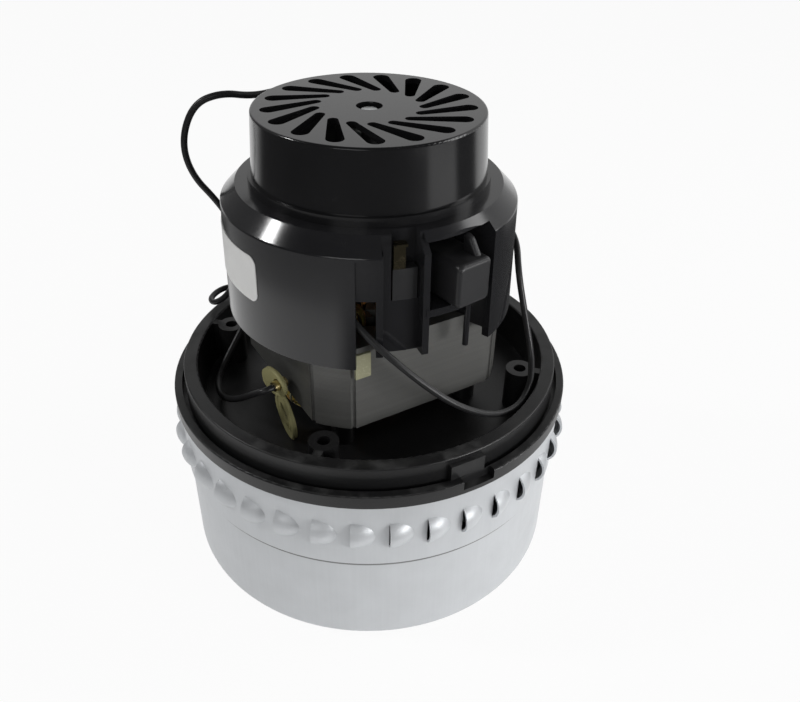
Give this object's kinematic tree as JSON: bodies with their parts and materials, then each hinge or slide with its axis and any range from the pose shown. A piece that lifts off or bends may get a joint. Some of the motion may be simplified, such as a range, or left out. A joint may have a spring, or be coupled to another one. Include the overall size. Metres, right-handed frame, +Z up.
{
  "type": "vacuum motor",
  "caption": "Two-stage bypass vacuum motor: zinc fan case with a louvred exhaust band, black end bracket, laminated stator, shell with brush gear, vented cooling-fan cover and two leads.",
  "frame": {"origin": "centre of the fan case's underside, on the motor's axis", "axes": "+Z up along the shaft from the air inlet to the fan cover; -Y towards the side with the lead opening and the first brush bay"},
  "size_m": [0.1484, 0.1484, 0.167],
  "materials": {
    "zinc_sheet": "satin galvanised sheet",
    "black_gloss_plastic": "moulded, glossy",
    "black_box_plastic": "moulded, satin",
    "lamination_steel": "stacked lamination edges",
    "winding_copper": "varnished copper wire",
    "cream_insulation": "pressed insulation",
    "varnished_cloth": "varnished, satin",
    "shaft_steel": "ground",
    "plated_steel": "zinc plated",
    "bearing_steel": "polished",
    "bearing_cage_brass": "satin",
    "commutator_resin": "moulded resin",
    "commutator_copper": "turned copper",
    "rubber": "moulded",
    "fan_plastic": "moulded, satin",
    "impeller_aluminium": "pressed sheet",
    "brush_carbon": "pressed carbon",
    "terminal_brass": "pressed brass",
    "label_stock": "coated, bare",
    "lead_insulation": "satin"
  },
  "bodies": {
    "frame": {"fan_shell_lower": "zinc_sheet", "fan_shell_upper": "zinc_sheet", "stage_cup": "zinc_sheet", "end_bracket": "black_gloss_plastic", "motor_shell": "black_gloss_plastic", "fan_cover": "black_gloss_plastic", "brush_boxes": "black_box_plastic", "terminal_blocks": "black_box_plastic", "stator_core": "lamination_steel", "field_coil_left": "winding_copper", "field_coil_right": "winding_copper", "brush_shunt_front": "winding_copper", "brush_shunt_rear": "winding_copper", "insulation_tags": "cream_insulation", "coil_tie": "varnished_cloth", "bearing_retainer": "shaft_steel", "brush_spring_front": "shaft_steel", "brush_spring_rear": "shaft_steel", "through_screws": "plated_steel", "retainer_screws": "plated_steel", "lower_bearing_outer_ring": "bearing_steel", "lower_bearing_shields": "bearing_steel", "upper_bearing_outer_ring": "bearing_steel", "upper_bearing_shields": "bearing_steel", "bearing_sleeve": "rubber", "guide_plate": "impeller_aluminium", "brush_tubes": "terminal_brass", "terminal_clips": "terminal_brass", "lead_terminals": "terminal_brass", "rating_label": "label_stock", "lead_wire_left": "lead_insulation", "lead_wire_right": "lead_insulation"},
    "rotor": {"shaft": "shaft_steel", "armature_core": "lamination_steel", "armature_winding": "winding_copper", "commutator_hub": "commutator_resin", "commutator_bars": "commutator_copper", "lower_bearing_inner_ring": "bearing_steel", "upper_bearing_inner_ring": "bearing_steel", "cooling_fan": "fan_plastic", "fan_nut": "plated_steel", "impeller_first_eye_plate": "impeller_aluminium", "impeller_first_blades": "impeller_aluminium", "impeller_first_back_plate": "impeller_aluminium", "impeller_second_eye_plate": "impeller_aluminium", "impeller_second_blades": "impeller_aluminium", "impeller_second_back_plate": "impeller_aluminium", "shaft_spacers": "shaft_steel", "impeller_washer": "shaft_steel", "impeller_nut": "plated_steel"},
    "lower_ball_set": {"lower_bearing_balls": "bearing_steel", "lower_bearing_cage": "bearing_cage_brass"},
    "upper_ball_set": {"upper_bearing_balls": "bearing_steel", "upper_bearing_cage": "bearing_cage_brass"},
    "front_brush": {"brush_front": "brush_carbon"},
    "rear_brush": {"brush_rear": "brush_carbon"}
  },
  "joints": [
    {"name": "rotor_spin", "type": "hinge", "parent": "frame", "child": "rotor", "pos_m": [0, 0, 0.09], "axis": [0, 0, 1], "continuous": true},
    {"name": "lower_ball_set_spin", "type": "hinge", "parent": "frame", "child": "lower_ball_set", "pos_m": [0, 0, 0.059], "axis": [0, 0, 1], "continuous": true},
    {"name": "upper_ball_set_spin", "type": "hinge", "parent": "frame", "child": "upper_ball_set", "pos_m": [0, 0, 0.1425], "axis": [0, 0, 1], "continuous": true},
    {"name": "front_brush_slide", "type": "slide", "parent": "frame", "child": "front_brush", "axis": [0.6018, -0.7986, 0], "range_m": [0, 0.006], "stiffness_N_per_m": 250, "springref_m": -0.012, "deforming": ["brush_spring_front", "brush_shunt_front"]},
    {"name": "rear_brush_slide", "type": "slide", "parent": "frame", "child": "rear_brush", "axis": [-0.6018, 0.7986, 0], "range_m": [0, 0.006], "stiffness_N_per_m": 250, "springref_m": -0.012, "deforming": ["brush_spring_rear", "brush_shunt_rear"]}
  ],
  "couplings": [
    {"joint": "lower_ball_set_spin", "follows": "rotor_spin", "ratio": 0.381},
    {"joint": "upper_ball_set_spin", "follows": "rotor_spin", "ratio": 0.368}
  ]
}
